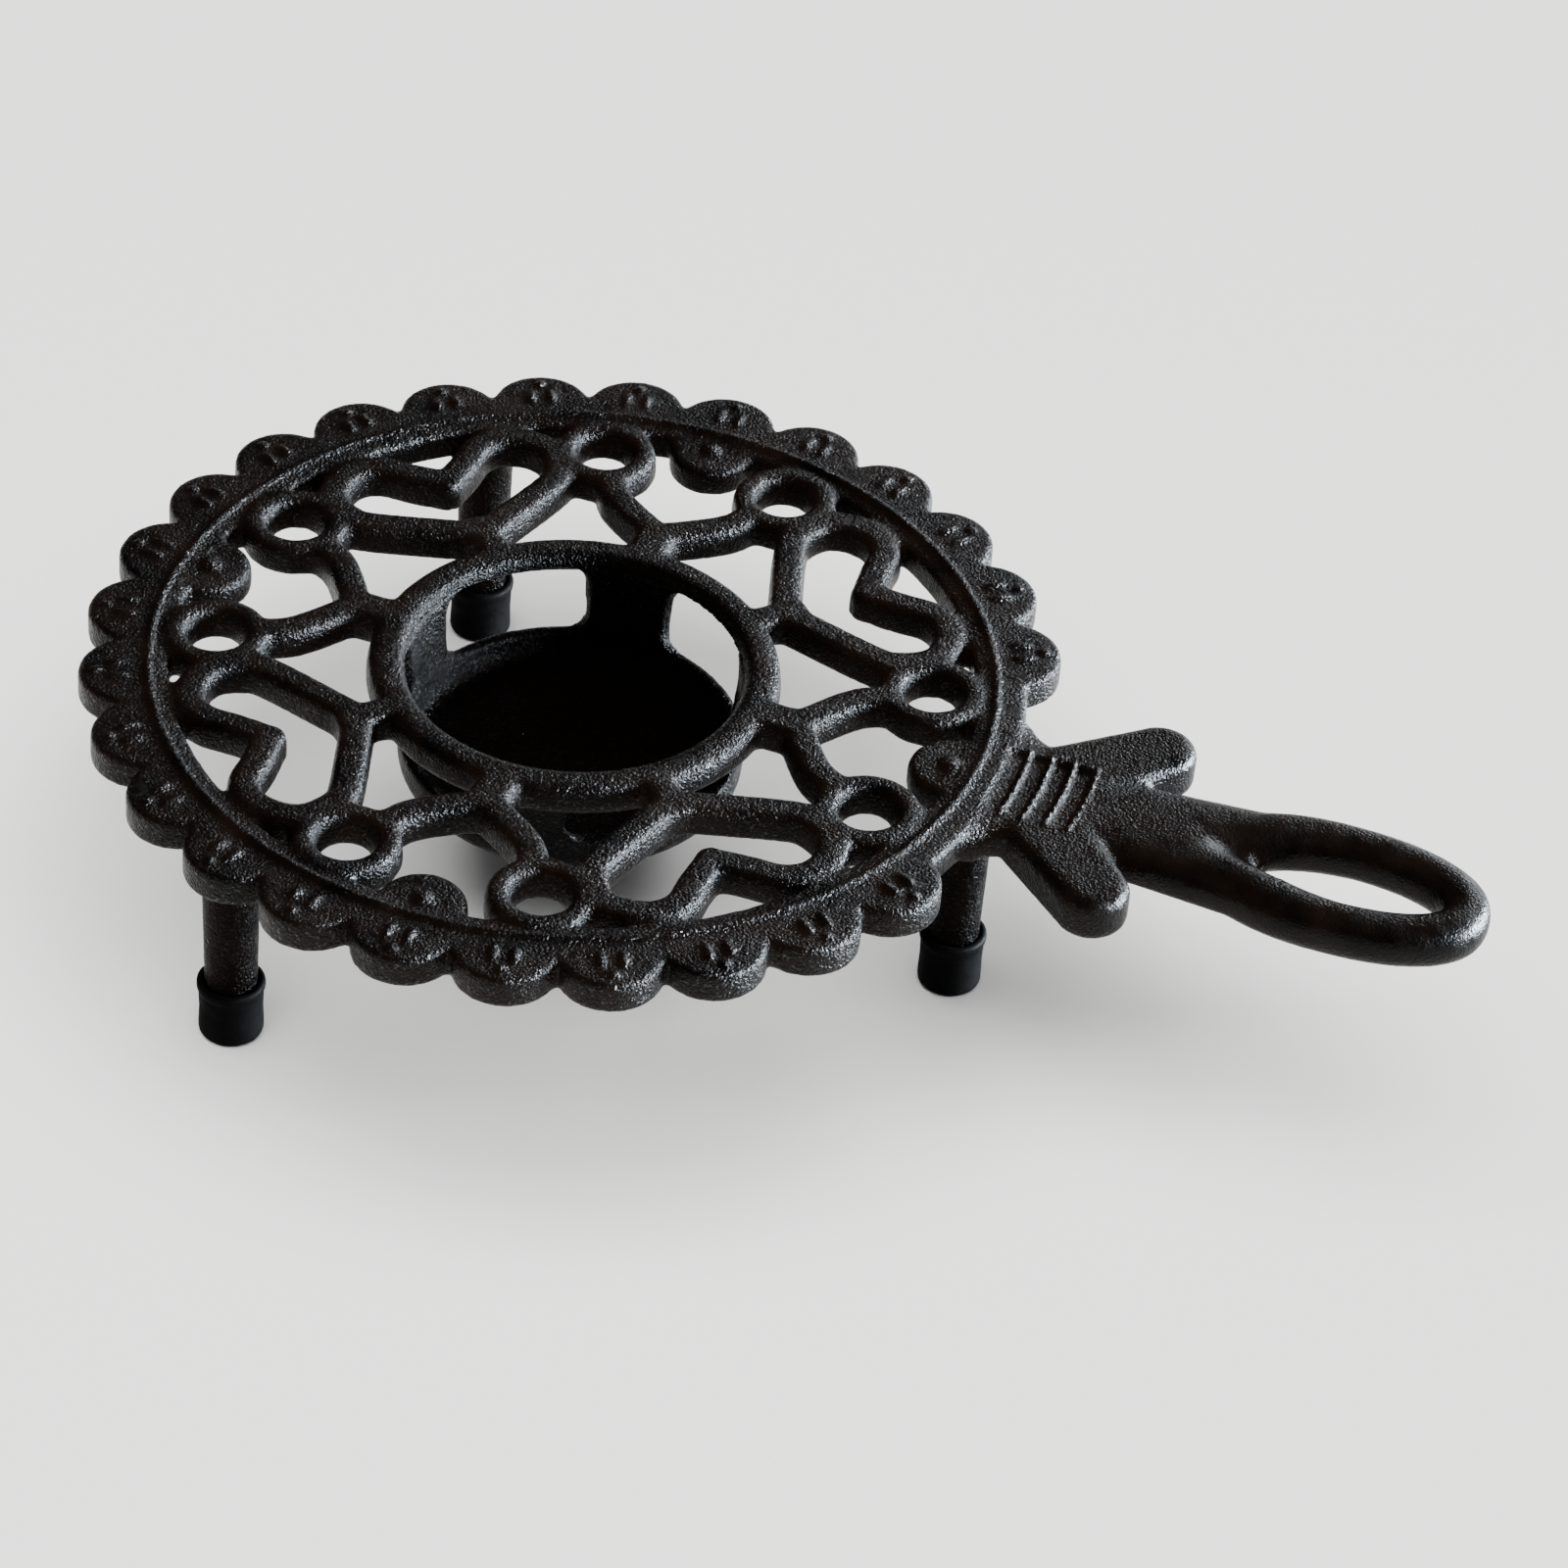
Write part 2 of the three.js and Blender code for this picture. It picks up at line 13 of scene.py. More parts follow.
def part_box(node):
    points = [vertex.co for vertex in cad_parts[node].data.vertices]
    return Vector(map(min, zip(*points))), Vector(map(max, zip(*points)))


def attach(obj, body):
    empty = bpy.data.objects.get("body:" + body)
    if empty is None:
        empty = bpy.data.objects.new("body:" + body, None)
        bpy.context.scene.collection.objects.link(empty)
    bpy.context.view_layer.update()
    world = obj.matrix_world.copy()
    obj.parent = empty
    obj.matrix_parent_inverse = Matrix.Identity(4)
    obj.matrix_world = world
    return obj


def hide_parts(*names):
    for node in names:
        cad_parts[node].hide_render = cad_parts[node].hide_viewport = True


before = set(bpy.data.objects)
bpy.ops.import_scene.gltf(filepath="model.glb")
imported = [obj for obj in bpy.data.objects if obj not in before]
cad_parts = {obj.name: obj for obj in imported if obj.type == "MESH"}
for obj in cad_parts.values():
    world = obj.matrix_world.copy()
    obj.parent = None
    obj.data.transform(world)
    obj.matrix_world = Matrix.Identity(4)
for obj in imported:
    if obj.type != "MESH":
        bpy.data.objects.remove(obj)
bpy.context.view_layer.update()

Pair = tuple[float, float]  # such as radius and height, or a least and a most value
Triple = tuple[float, float, float]  # a place, a colour or three angles
Shape = bmesh.types.BMesh
Socket = bpy.types.NodeSocket

log = logging.getLogger("warmer")

MM = 0.001  # the shapes are worked out in millimetres, with the plate's axis as z
JOIN = 1e-4  # mm, vertices closer than this are one
FULL_TURN = 2 * math.pi
ROUNDING_STEPS = 5  # a rounding's quarter turn is drawn in so many
SOFTENING = 0.2  # mm, what melting and smoothing take off the edges of an underside
RIM_INNER = 58.0  # mm, the radius of the rim's inner wall
SEAT_THICKNESS = 2.0  # mm, the candle ring's thickness above the basket's straps


class Slot(Enum):
    """The record's material slots."""

    IRON = "cast_iron"
    RUBBER = "rubber"


@dataclass(frozen=True)
class Box:
    """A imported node's box in millimetres, seen from the plate's axis.

    Attributes:
        low: The lowest corner.
        high: The highest corner.
    """

    low: Vector
    high: Vector

    @property
    def middle(self) -> Vector:
        """The box's middle."""
        return (self.low + self.high) / 2

    @property
    def size(self) -> Vector:
        """The box's size on each axis."""
        return self.high - self.low


def plate_axis() -> Vector:
    """The point on the table under the plate's axis, in metres."""
    low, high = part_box("candle_ring")
    return Vector(((low.x + high.x) / 2, (low.y + high.y) / 2, 0))


def node_box(name: str) -> Box:
    """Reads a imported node's box, in millimetres and with the plate's axis at x = y = 0."""
    low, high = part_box(name)
    axis = plate_axis()
    return Box((low - axis) / MM, (high - axis) / MM)


def polar(radius: float, angle: float) -> Vector:
    """A point at a radius and an angle round the plate's axis."""
    return Vector((radius * math.cos(angle), radius * math.sin(angle), 0))


def turn(angle: float) -> Matrix:
    """A turn about the plate's axis."""
    return Matrix.Rotation(angle, 4, "Z")


def smooth_line(points: list[Pair], steps: int) -> list[Vector]:
    """Runs a smooth flat line through a few points.

    Args:
        points: The points that the line passes, as x and y.
        steps: How many steps each stretch between two points gets.

    Returns:
        The line's points, from the first to the last.
    """
    knots = [Vector((x, y, 0)) for x, y in points]
    knots = [2 * knots[0] - knots[1], *knots, 2 * knots[-1] - knots[-2]]
    line = []
    for before, start, end, after in zip(knots, knots[1:], knots[2:], knots[3:]):
        for step in range(steps):
            t = step / steps
            bend = (2 * before - 5 * start + 4 * end - after) * t * t
            bend += (3 * start - before - 3 * end + after) * t**3
            line.append(start + ((end - before) * t + bend) / 2)
    line.append(knots[-2])
    return line


def spun(profile: list[Pair], steps: int) -> Shape:
    """Spins a closed profile round the axis.

    Args:
        profile: Its corners as radius and height; the last joins the first.
        steps: How many steps the full turn takes.

    Returns:
        The closed shape.
    """
    shape = bmesh.new()
    corners = [shape.verts.new((radius, 0, z)) for radius, z in profile]
    edges = [shape.edges.new((a, b)) for a, b in zip(corners, corners[1:] + corners[:1])]
    bmesh.ops.spin(
        shape, geom=corners + edges, cent=(0, 0, 0), axis=(0, 0, 1), angle=FULL_TURN,
        steps=steps, use_merge=True,
    )
    return shape


def swept(
    section: list[Pair],
    line: list[Vector],
    scales: list[Pair] | None = None,
    closed: bool = False,
) -> Shape:
    """Draws a section along a flat line.

    Args:
        section: Its corners, more than four, as distance to the left of the line and height above it.
        line: The points that it follows.
        scales: The section's scale at each point, across and up, if it changes.
        closed: Whether the line goes round and meets itself.

    Returns:
        The closed shape.
    """
    shape = bmesh.new()
    count = len(line)
    last = count - 1
    corners = [shape.verts.new((0, across, up)) for across, up in section]
    face = shape.faces.new(corners)
    there = Matrix.Identity(4)
    scales = scales or [(1, 1)] * count
    for i in range(count + (1 if closed else 0)):
        here = line[i % count]
        ahead = line[(i + 1) % count] if closed else line[min(i + 1, last)]
        behind = line[(i - 1) % count] if closed else line[max(i - 1, 0)]
        way = ahead - behind
        across, up = scales[i % count]
        place = Matrix.Translation(here) @ turn(math.atan2(way.y, way.x))
        place = place @ Matrix.Diagonal((1, across, up, 1))
        if i > 0:
            grown = bmesh.ops.extrude_face_region(shape, geom=[face])["geom"]
            corners = [item for item in grown if isinstance(item, bmesh.types.BMVert)]
            face = next(item for item in grown if isinstance(item, bmesh.types.BMFace))
        bmesh.ops.transform(shape, matrix=place @ there.inverted(), verts=corners)
        there = place
    if closed:
        ends = [item for item in shape.faces if len(item.verts) == len(section)]
        bmesh.ops.delete(shape, geom=ends, context="FACES_ONLY")
    return shape


def round_section(width: float, height: float, fullness: float, corners: int) -> list[Pair]:
    """A rounded section between an ellipse and a rectangle.

    Args:
        width: Its width.
        height: Its height; the section stands on height zero.
        fullness: 1 for an ellipse, smaller for squarer.
        corners: How many corners it gets.

    Returns:
        Its corners.
    """
    section = []
    for i in range(corners):
        angle = i * FULL_TURN / corners
        across = math.copysign(abs(math.cos(angle)) ** fullness, math.cos(angle))
        up = math.copysign(abs(math.sin(angle)) ** fullness, math.sin(angle))
        section.append((across * width / 2, (up + 1) * height / 2))
    return section


def pill(middle: Vector, radius: Vector, segments: int = 24) -> Shape:
    """A ball squeezed to a radius on each axis."""
    shape = bmesh.new()
    place = Matrix.Translation(middle) @ Matrix.Diagonal((*radius, 1))
    bmesh.ops.create_uvsphere(shape, u_segments=segments, v_segments=segments // 2, radius=1, matrix=place)
    return shape


def trim(shape: Shape, place: Vector, away: Vector) -> None:
    """Cuts a closed shape along a plane and closes the cut.

    Args:
        shape: The shape.
        place: A point of the plane.
        away: The direction in which everything past the plane goes.
    """
    whole = shape.verts[:] + shape.edges[:] + shape.faces[:]
    bmesh.ops.bisect_plane(shape, geom=whole, plane_co=place, plane_no=away, clear_outer=True)
    bmesh.ops.holes_fill(shape, edges=[item for item in shape.edges if item.is_boundary])


def disc(radius: float, bottom: float, top: float, edge: float, segments: int) -> Shape:
    """A round pad with soft edges.

    Args:
        radius: Its radius.
        bottom: The height of its underside.
        top: The height of its top.
        edge: How far the rounding reaches.
        segments: How many sides it has.

    Returns:
        The closed shape.
    """
    shape = bmesh.new()
    place = Matrix.Translation((0, 0, (bottom + top) / 2))
    bmesh.ops.create_cone(
        shape, cap_ends=True, segments=segments, radius1=radius, radius2=radius, depth=top - bottom,
        matrix=place,
    )
    rims = [item for item in shape.edges if any(len(near.verts) > 4 for near in item.link_faces)]
    bmesh.ops.bevel(
        shape, geom=rims, offset=edge, segments=4, profile=0.5, affect="EDGES", material=-1,
        clamp_overlap=True,
    )
    return shape


def rounding(radius: float, edge: float, bottom: float) -> list[Pair]:
    """A quarter turn from an underside out and up to a wall of that radius, as radius and height."""
    angles = [step * math.pi / (2 * ROUNDING_STEPS) for step in range(ROUNDING_STEPS + 1)]
    return [(radius - edge * (1 - math.sin(a)), bottom + edge * (1 - math.cos(a))) for a in angles]


@dataclass
class Mould:
    """Closed blanks in millimetres that are fused into one casting.

    Attributes:
        name: The name of the piece that comes out.
        blanks: All blanks so far.
    """

    name: str
    blanks: Shape = field(default_factory=bmesh.new)

    def add(self, blank: Shape, *places: Matrix) -> None:
        """Takes a blank in, once at each place.

        Args:
            blank: The closed shape, which is used up.
            places: Where its copies go, or nothing for where it is.
        """
        bmesh.ops.remove_doubles(blank, verts=blank.verts, dist=JOIN)
        bmesh.ops.recalc_face_normals(blank, faces=blank.faces)
        mesh = bpy.data.meshes.new("blank")
        for place in places or (Matrix.Identity(4),):
            copy = blank.copy()
            copy.transform(place)
            copy.to_mesh(mesh)
            copy.free()
            self.blanks.from_mesh(mesh)
        blank.free()
        bpy.data.meshes.remove(mesh)

    def fuse(self, voxel: float, smoothing: int) -> None:
        """Melts all blanks into one skin and softens it.

        Args:
            voxel: The grid that the skin is drawn on.
            smoothing: How many times it is smoothed.
        """
        maker = as_object(self.name, self.blanks)
        remesh = maker.modifiers.new("skin", "REMESH")
        remesh.mode = "VOXEL"
        remesh.voxel_size = voxel
        soften = maker.modifiers.new("soften", "SMOOTH")
        soften.factor = 0.5
        soften.iterations = smoothing
        self.blanks = applied(maker)

    def cast(self, grain: "Grain", most_triangles: int) -> bpy.types.Object:
        """Turns the skin into a finished piece in metres.

        Args:
            grain: The unevenness of the cast surface.
            most_triangles: How many triangles it may have.

        Returns:
            The piece, at the origin, with its place in its mesh.
        """
        maker = as_object(self.name, self.blanks)
        grain.roughen(maker)
        triangles = 2 * len(maker.data.polygons)
        if triangles > most_triangles:
            thin = maker.modifiers.new("thin", "DECIMATE")
            thin.ratio = most_triangles / triangles
        shape = applied(maker)
        bmesh.ops.recalc_face_normals(shape, faces=shape.faces)
        for face in shape.faces:
            face.smooth = True
        shape.transform(Matrix.Translation(plate_axis()) @ Matrix.Scale(MM, 4))
        return as_object(self.name, shape)


def as_object(name: str, shape: Shape) -> bpy.types.Object:
    """Gives a shape an object of its own in the scene, and frees the shape."""
    mesh = bpy.data.meshes.new(name)
    shape.to_mesh(mesh)
    shape.free()
    made = bpy.data.objects.new(name, mesh)
    bpy.context.scene.collection.objects.link(made)
    return made


def discard(made: bpy.types.Object) -> None:
    """Removes an object and its mesh."""
    mesh = made.data
    bpy.data.objects.remove(made)
    bpy.data.meshes.remove(mesh)


def applied(maker: bpy.types.Object) -> Shape:
    """Takes an object's mesh with all its modifiers as a shape, and removes the object."""
    bpy.context.view_layer.update()
    shape = bmesh.new()
    shape.from_object(maker, bpy.context.evaluated_depsgraph_get())
    discard(maker)
    return shape


def post(name: str, box: Box, profile: list[Pair]) -> Mould:
    """Spins a profile round the middle of a node's box, in a mould of its own."""
    mould = Mould(name)
    mould.add(spun(profile, 48), Matrix.Translation((box.middle.x, box.middle.y, 0)))
    return mould


@dataclass(frozen=True)
class Grain:
    """The unevenness of a moulded surface, in millimetres.

    Attributes:
        size: The size of its bumps.
        height: How far they stand out at most.
    """

    size: float
    height: float

    def roughen(self, made: bpy.types.Object) -> None:
        """Adds the unevenness to an object in millimetres."""
        clouds = bpy.data.textures.new(f"{made.name}_grain", "CLOUDS")
        clouds.noise_scale = self.size
        clouds.noise_depth = 2
        bumps = made.modifiers.new("grain", "DISPLACE")
        bumps.texture = clouds
        bumps.texture_coords = "LOCAL"
        bumps.strength = self.height
        bumps.mid_level = 0.5


@dataclass(frozen=True)
class Finish:
    """A surface's look, as a material with its node tree.

    Attributes:
        name: The material's name.
        dark: The colour of the darker patches, and of the painted shade round the plate's axis.
        light: The colour of the lighter patches.
        patch: The size of the colour patches, in metres.
        rough: The least and the most roughness.
        grit: The size of the fine grain, in metres.
        grit_height: The height of the fine grain, in metres.
        pit: The size of the larger pits, in metres.
        pit_height: Their depth, in metres.
        specular: The shader's specular level.
        worn: From where to where along X hands have worn the grain down, in metres.
        worn_share: What is left of its height there.
        painted_shade_reach: From which distance to which from the plate's axis the painted shade, darker
            and less glossy, fades out, in metres.
        painted_shade_gloss: What is left of the gloss under the painted shade.
        speck: The size of the bright grains, in metres.
        speck_stretch: The stretch of their pattern over which they appear.
        sparkle: How many times glossier they are, on top of the rest.
    """

    name: str
    dark: Triple
    light: Triple
    patch: float
    rough: Pair
    grit: float
    grit_height: float
    pit: float
    pit_height: float
    specular: float
    worn: Pair = (0.036, 0.062)
    worn_share: float = 0.4
    # Painted shade: the surface turns darker and less glossy towards the plate's axis, in the candle ring's
    # bore and the basket.
    painted_shade_reach: Pair = (0.0254, 0.0268)
    painted_shade_gloss: float = 0.55
    speck: float = 0.00055
    speck_stretch: Pair = (0.61, 0.69)
    sparkle: float = 2.8

    def material(self) -> bpy.types.Material:
        """Builds the material.

        Returns:
            The material with colour patches, uneven roughness, two sizes of bump, bright grains, and
            painted shade that darkens and dulls it towards the plate's axis.
        """
        material = bpy.data.materials.new(self.name)
        material.use_nodes = True
        nodes = material.node_tree.nodes
        link = material.node_tree.links.new
        shader = nodes["Principled BSDF"]
        place = nodes.new("ShaderNodeTexCoord").outputs["Object"]

        def noise(size: float, detail: float) -> Socket:
            """A cloudy pattern with patches of that size."""
            pattern = nodes.new("ShaderNodeTexNoise")
            pattern.inputs["Scale"].default_value = 1 / size
            pattern.inputs["Detail"].default_value = detail
            link(place, pattern.inputs["Vector"])
            return pattern.outputs["Fac"]

        def ranged(source: Socket, ends: Pair, stretch: Pair = (0.35, 0.65)) -> Socket:
            """A stretch of the source, by default a pattern's middle, spread over two values."""
            spread = nodes.new("ShaderNodeMapRange")
            spread.inputs["From Min"].default_value, spread.inputs["From Max"].default_value = stretch
            spread.inputs["To Min"].default_value, spread.inputs["To Max"].default_value = ends
            link(source, spread.inputs["Value"])
            return spread.outputs["Result"]

        def bump(source: Socket, height: float, under: Socket | None) -> Socket:
            """A bump of that height, on top of another one."""
            raised = nodes.new("ShaderNodeBump")
            raised.inputs["Distance"].default_value = height
            link(source, raised.inputs["Height"])
            link(wear, raised.inputs["Strength"])
            if under is not None:
                link(under, raised.inputs["Normal"])
            return raised.outputs["Normal"]

        def combined(operation: str, *sources: Socket) -> Socket:
            """What an operation makes of two or three sources."""
            node = nodes.new("ShaderNodeMath")
            node.operation = operation
            for source, target in zip(sources, node.inputs):
                link(source, target)
            return node.outputs["Value"]

        along = nodes.new("ShaderNodeSeparateXYZ")
        link(place, along.inputs["Vector"])
        wear = ranged(along.outputs["X"], (1, self.worn_share), self.worn)
        level = nodes.new("ShaderNodeVectorMath")
        level.operation = "MULTIPLY"
        level.inputs[1].default_value = (1, 1, 0)
        link(place, level.inputs[0])
        distance = nodes.new("ShaderNodeVectorMath")
        distance.operation = "DISTANCE"
        distance.inputs[1].default_value = plate_axis()
        link(level.outputs["Vector"], distance.inputs[0])
        outward = distance.outputs["Value"]
        # Painted shade: the gloss drops towards the plate's axis, which dims the highlight on the ring's
        # inner wall.
        gloss = ranged(outward, (self.painted_shade_gloss * self.specular, self.specular), self.painted_shade_reach)
        grains = ranged(noise(self.speck, 1), (0, self.sparkle), self.speck_stretch)
        specks = combined("MULTIPLY", grains, ranged(along.outputs["X"], (1, 0), self.worn))
        link(combined("MULTIPLY_ADD", specks, gloss, gloss), shader.inputs["Specular IOR Level"])
        patches = ranged(noise(self.patch, 4), (0, 1))
        # Painted shade: towards the plate's axis the colour goes over to the dark tone, whatever the
        # patches say.
        shade = combined("MULTIPLY", ranged(outward, (0, 1), self.painted_shade_reach), patches)
        mix = nodes.new("ShaderNodeMix")
        mix.data_type = "RGBA"
        mix.inputs["A"].default_value = (*self.dark, 1)
        mix.inputs["B"].default_value = (*self.light, 1)
        link(shade, mix.inputs["Factor"])
        link(mix.outputs["Result"], shader.inputs["Base Color"])
        link(ranged(noise(self.patch / 3, 6), self.rough), shader.inputs["Roughness"])
        coarse = bump(noise(self.pit, 3), self.pit_height, None)
        link(bump(noise(self.grit, 2), self.grit_height, coarse), shader.inputs["Normal"])
        return material


IRON = Finish(
    name="black_cast_iron",
    dark=(0.0007, 0.00045, 0.0003),
    light=(0.0040, 0.0022, 0.0014),
    patch=0.010,
    rough=(0.22, 0.38),
    grit=0.00040,
    grit_height=0.00040,
    pit=0.0012,
    pit_height=0.00018,
    specular=0.065,
)
BROWN_IRON = replace(
    IRON,
    name="browned_cast_iron",
    dark=(0.0010, 0.0006, 0.0005),
    light=(0.0060, 0.0034, 0.0022),
    specular=0.015,
)
RUBBER = Finish(
    name="black_rubber",
    dark=(0.0010, 0.0010, 0.0011),
    light=(0.0026, 0.0026, 0.0029),
    patch=0.006,
    rough=(0.55, 0.7),
    grit=0.0004,
    grit_height=0.00004,
    pit=0.003,
    pit_height=0.0001,
    specular=0.015,
    sparkle=0,
)


def dress(piece: bpy.types.Object, material: bpy.types.Material, slot: Slot, *nodes: str) -> None:
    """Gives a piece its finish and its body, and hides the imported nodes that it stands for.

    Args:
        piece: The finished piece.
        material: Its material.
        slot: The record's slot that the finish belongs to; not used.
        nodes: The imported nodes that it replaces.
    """
    piece.data.materials.append(material)
    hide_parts(*nodes)
    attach(piece, "root")
    log.info("%s: %d faces", piece.name, len(piece.data.polygons))


@dataclass
class Rim:
    """The outer ring: its band, round lobes, raised line, marks, and inside lobes with studs.

    Attributes:
        box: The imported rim's box.
        band_outer: The radius of the band that the lobes stand out from.
        inner_drop: How far the inner band slopes down.
        bead_radius: The radius of the raised line.
        bead_width: Its width.
        bead_height: Its height.
        places: The places for lobes all the way round.
        handle_places: The places that the handle takes.
        lobe_radius: The radius of a lobe.
        edge: The rounding of the cast edges.
        lobe_edge: The rounding of a lobe's edge, which is sharper.
        tongues: How many lobes there are on the inside.
        tongue_radius: Their radius.
        tongue_centre: The radius that they are centred on.
        tongue_drop: How far their tops lie below the rim's.
        stud_radius: The radius of the stud on each.
        stud_centre: The radius that the studs are centred on.
        steps: The steps of a full turn.
    """

    box: Box = field(default_factory=lambda: node_box("scalloped_rim"))
    band_outer: float = 65.4
    inner_drop: float = 0.35
    bead_radius: float = 61.0
    bead_width: float = 1.2
    bead_height: float = 0.4
    places: int = 28
    handle_places: int = 3
    lobe_radius: float = 7.5
    edge: float = 1.0
    lobe_edge: float = 0.5
    tongues: int = 4
    tongue_radius: float = 6.4
    tongue_centre: float = 57.5
    tongue_drop: float = 0.35
    stud_radius: float = 1.5
    stud_centre: float = 57.0
    steps: int = 224

    @property
    def top(self) -> float:
        """The height of the flat top."""
        return self.box.high.z - self.bead_height

    @property
    def bottom(self) -> float:
        """The height of the blanks' underside."""
        return self.box.low.z - SOFTENING

    @property
    def lobe_centre(self) -> float:
        """The radius that the lobes are centred on."""
        return self.box.high.y - self.lobe_radius

    def lobe_places(self) -> list[Matrix]:
        """The turns of all lobes, clear of the handle."""
        pitch = FULL_TURN / self.places
        first = (self.handle_places + 1) // 2
        return [turn(i * pitch) for i in range(first, self.places - first + 1)]

    def tongue_places(self) -> list[Matrix]:
        """The turns of the inside lobes."""
        return [turn(i * FULL_TURN / self.tongues) for i in range(self.tongues)]

    def cast(self, mould: Mould) -> None:
        """Adds the band, the lobes and the inside lobes."""
        soft = self.edge / 2
        mould.add(spun([
            (RIM_INNER, self.bottom + soft), (RIM_INNER, self.top - self.inner_drop),
            (self.bead_radius - self.bead_width / 2, self.top), (self.band_outer - soft, self.top),
            (self.band_outer, self.top - soft), (self.band_outer, self.bottom + soft),
            (self.band_outer - soft, self.bottom), (RIM_INNER + soft, self.bottom),
        ], self.steps))
        lobe = disc(self.lobe_radius, self.bottom, self.top, self.lobe_edge, 40)
        lobe.transform(Matrix.Translation((self.lobe_centre, 0, 0)))
        trim(lobe, Vector((self.bead_radius + self.bead_width, 0, 0)), Vector((-1, 0, 0)))
        mould.add(lobe, *self.lobe_places())
        tongue = disc(self.tongue_radius, self.bottom, self.top - self.tongue_drop, self.edge, 40)
        tongue.transform(Matrix.Translation((self.tongue_centre, 0, 0)))
        trim(tongue, Vector((self.bead_radius - self.bead_width, 0, 0)), Vector((1, 0, 0)))
        mould.add(tongue, *self.tongue_places())

    def detail(self, mould: Mould) -> None:
        """Adds the raised line, the studs and a mark on each lobe: two short bars and a dot."""
        half = self.bead_width / 2
        crest = self.top + self.bead_height
        left = [(-1, self.top - half), (-1, self.top), (-0.5, crest - 0.08)]
        right = [(-across, z) for across, z in reversed(left)]
        bead = [(self.bead_radius + half * across, z) for across, z in (*left, (0, crest), *right)]
        mould.add(spun(bead, 2 * self.steps))
        stud = pill(
            Vector((self.stud_centre, 0, self.top - self.tongue_drop)),
            Vector((self.stud_radius, self.stud_radius, self.tongue_drop + self.bead_height)),
        )
        mould.add(stud, *self.tongue_places())
        places = self.lobe_places()
        for side in (-1, 1):
            bar = pill(Vector((self.lobe_centre + 1.9, side * 1.5, self.top)), Vector((1.7, 0.6, 0.55)), 16)
            mould.add(bar, *places)
        dot = pill(Vector((self.lobe_centre + 5.0, 0, self.top - 0.1)), Vector((0.8, 0.8, 0.6)), 16)
        mould.add(dot, *places)


